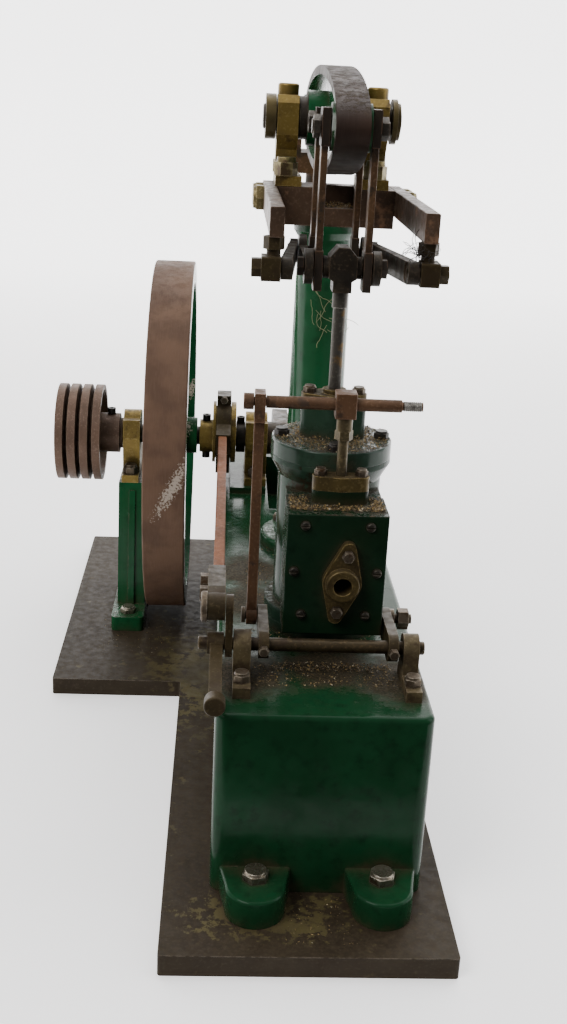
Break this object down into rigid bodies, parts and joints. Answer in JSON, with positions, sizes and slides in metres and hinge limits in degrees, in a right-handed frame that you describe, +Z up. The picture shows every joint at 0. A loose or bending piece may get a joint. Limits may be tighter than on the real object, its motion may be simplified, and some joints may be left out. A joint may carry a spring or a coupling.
{
  "type": "model beam engine",
  "caption": "Working model of a steam beam engine on a cast bed, with column, rocking beam, vertical cylinder, valve gear, crankshaft, spoked flywheel and belt pulley.",
  "frame": {"origin": "underside of the base plate, straight below the column and the beam's trunnion", "axes": "+X across the engine away from the flywheel, +Y along it from the cylinder towards the crank, +Z up"},
  "size_m": [0.168, 0.3828, 0.2857],
  "materials": {
    "plate_steel": "bare mild steel, browned and oily",
    "green_casting": "deep green gloss enamel over iron",
    "flywheel_casting": "green enamel with a bare turned rim",
    "beam_casting": "green enamel with a bare machined rim",
    "bare_steel": "machined steel gone brown with age",
    "dark_steel": "dark oiled steel",
    "brass": "tarnished brass with an olive cast",
    "copper_bar": "coppered steel bar",
    "bolt_steel": "dull steel hexagon heads",
    "black_screws": "blackened steel"
  },
  "bodies": {
    "frame": {"base_plate": "plate_steel", "bearing_bolts": "bolt_steel", "bearing_caps": "brass", "bed": "green_casting", "bed_top_bolts": "bolt_steel", "chest_cover": "green_casting", "chest_screws": "bolt_steel", "column": "green_casting", "cover_bolts": "black_screws", "cylinder": "green_casting", "cylinder_bottom_cover": "green_casting", "cylinder_cover": "green_casting", "entablature": "bare_steel", "entablature_bolts": "bolt_steel", "foot_bolts": "bolt_steel", "gland_bolts": "bolt_steel", "glands": "brass", "outboard_pedestal": "green_casting", "radius_arms": "bare_steel", "radius_pivots": "bare_steel", "rocker_brackets": "bare_steel", "shaft_bearings": "brass", "steam_inlet_flange": "brass", "trunnion_bearings": "brass", "valve_chest": "green_casting"},
    "crankshaft": {"crankshaft": "dark_steel", "flywheel": "flywheel_casting", "pulley": "bare_steel", "crank": "dark_steel", "shaft_collar": "dark_steel", "eccentric_sheave": "brass", "set_screws": "black_screws"},
    "eccentric_rod": {"eccentric_strap": "bare_steel", "eccentric_bolts": "bolt_steel", "eccentric_rod": "copper_bar", "gab": "bare_steel"},
    "beam": {"beam": "beam_casting", "trunnion_shaft": "dark_steel", "trunnion_collars": "dark_steel", "beam_pins": "dark_steel"},
    "main_links": {"main_links": "bare_steel"},
    "back_links": {"back_links": "bare_steel"},
    "parallel_bars": {"parallel_bars": "bare_steel"},
    "radius_rods": {"radius_rods": "bare_steel"},
    "piston": {"piston": "dark_steel", "piston_rings": "dark_steel", "piston_rod": "dark_steel", "crosshead": "dark_steel"},
    "connecting_rod": {"connecting_rod": "bare_steel", "big_end": "brass", "crank_pin": "dark_steel"},
    "rocker": {"rocker_shaft": "bare_steel", "rocker_arms": "bare_steel", "rocker_pins": "bolt_steel", "hand_lever": "bare_steel"},
    "valve_link": {"valve_link": "bare_steel"},
    "valve": {"valve_rod": "dark_steel", "slide_valve": "dark_steel", "valve_crosshead": "bare_steel"}
  },
  "joints": [
    {"name": "crankshaft_turn", "type": "hinge", "parent": "frame", "child": "crankshaft", "pos_m": [0, 0.0863, 0.1019], "axis": [1, 0, 0], "continuous": true},
    {"name": "eccentric_follow", "type": "hinge", "parent": "crankshaft", "child": "eccentric_rod", "pos_m": [0, 0.0863, 0.1043], "axis": [1, 0, 0], "continuous": true},
    {"name": "beam_rock", "type": "hinge", "parent": "frame", "child": "beam", "pos_m": [0, 0, 0.2647], "axis": [1, 0, 0], "range_deg": [-17.12, 17.12]},
    {"name": "main_link_swing", "type": "hinge", "parent": "beam", "child": "main_links", "pos_m": [0, -0.0863, 0.2647], "axis": [1, 0, 0], "range_deg": [-17.2, 17.2]},
    {"name": "back_link_swing", "type": "hinge", "parent": "beam", "child": "back_links", "pos_m": [0, -0.045, 0.2647], "axis": [1, 0, 0], "range_deg": [-17.2, 17.2]},
    {"name": "parallel_bar_swing", "type": "hinge", "parent": "back_links", "child": "parallel_bars", "pos_m": [0, -0.045, 0.2164], "axis": [1, 0, 0], "range_deg": [-17.2, 17.2]},
    {"name": "radius_rod_swing", "type": "hinge", "parent": "frame", "child": "radius_rods", "pos_m": [0, -0.094, 0.2164], "axis": [1, 0, 0], "range_deg": [-15.8, 15.8]},
    {"name": "piston_travel", "type": "slide", "parent": "frame", "child": "piston", "axis": [0, 0, 1], "range_m": [-0.0258, 0.0258]},
    {"name": "connecting_rod_swing", "type": "hinge", "parent": "beam", "child": "connecting_rod", "pos_m": [0, 0.0863, 0.2647], "axis": [1, 0, 0], "range_deg": [-17.2, 17.2]},
    {"name": "rocker_turn", "type": "hinge", "parent": "frame", "child": "rocker", "pos_m": [0, -0.1383, 0.0905], "axis": [1, 0, 0], "range_deg": [-9, 9]},
    {"name": "valve_link_swing", "type": "hinge", "parent": "rocker", "child": "valve_link", "pos_m": [0, -0.1133, 0.0905], "axis": [1, 0, 0], "range_deg": [-9.1, 9.1]},
    {"name": "valve_travel", "type": "slide", "parent": "frame", "child": "valve", "axis": [0, 0, 1], "range_m": [-0.00395, 0.00395]}
  ],
  "couplings": [
    {"joint": "eccentric_follow", "follows": "crankshaft_turn", "ratio": -1},
    {"joint": "main_link_swing", "follows": "beam_rock", "ratio": -1},
    {"joint": "back_link_swing", "follows": "beam_rock", "ratio": -1},
    {"joint": "parallel_bar_swing", "follows": "beam_rock", "ratio": 1},
    {"joint": "radius_rod_swing", "follows": "beam_rock", "ratio": -0.91837},
    {"joint": "piston_travel", "follows": "beam_rock", "m_per_rad": -0.0863},
    {"joint": "connecting_rod_swing", "follows": "beam_rock", "ratio": -1},
    {"joint": "valve_link_swing", "follows": "rocker_turn", "ratio": -1},
    {"joint": "valve_travel", "follows": "rocker_turn", "m_per_rad": 0.025}
  ]
}
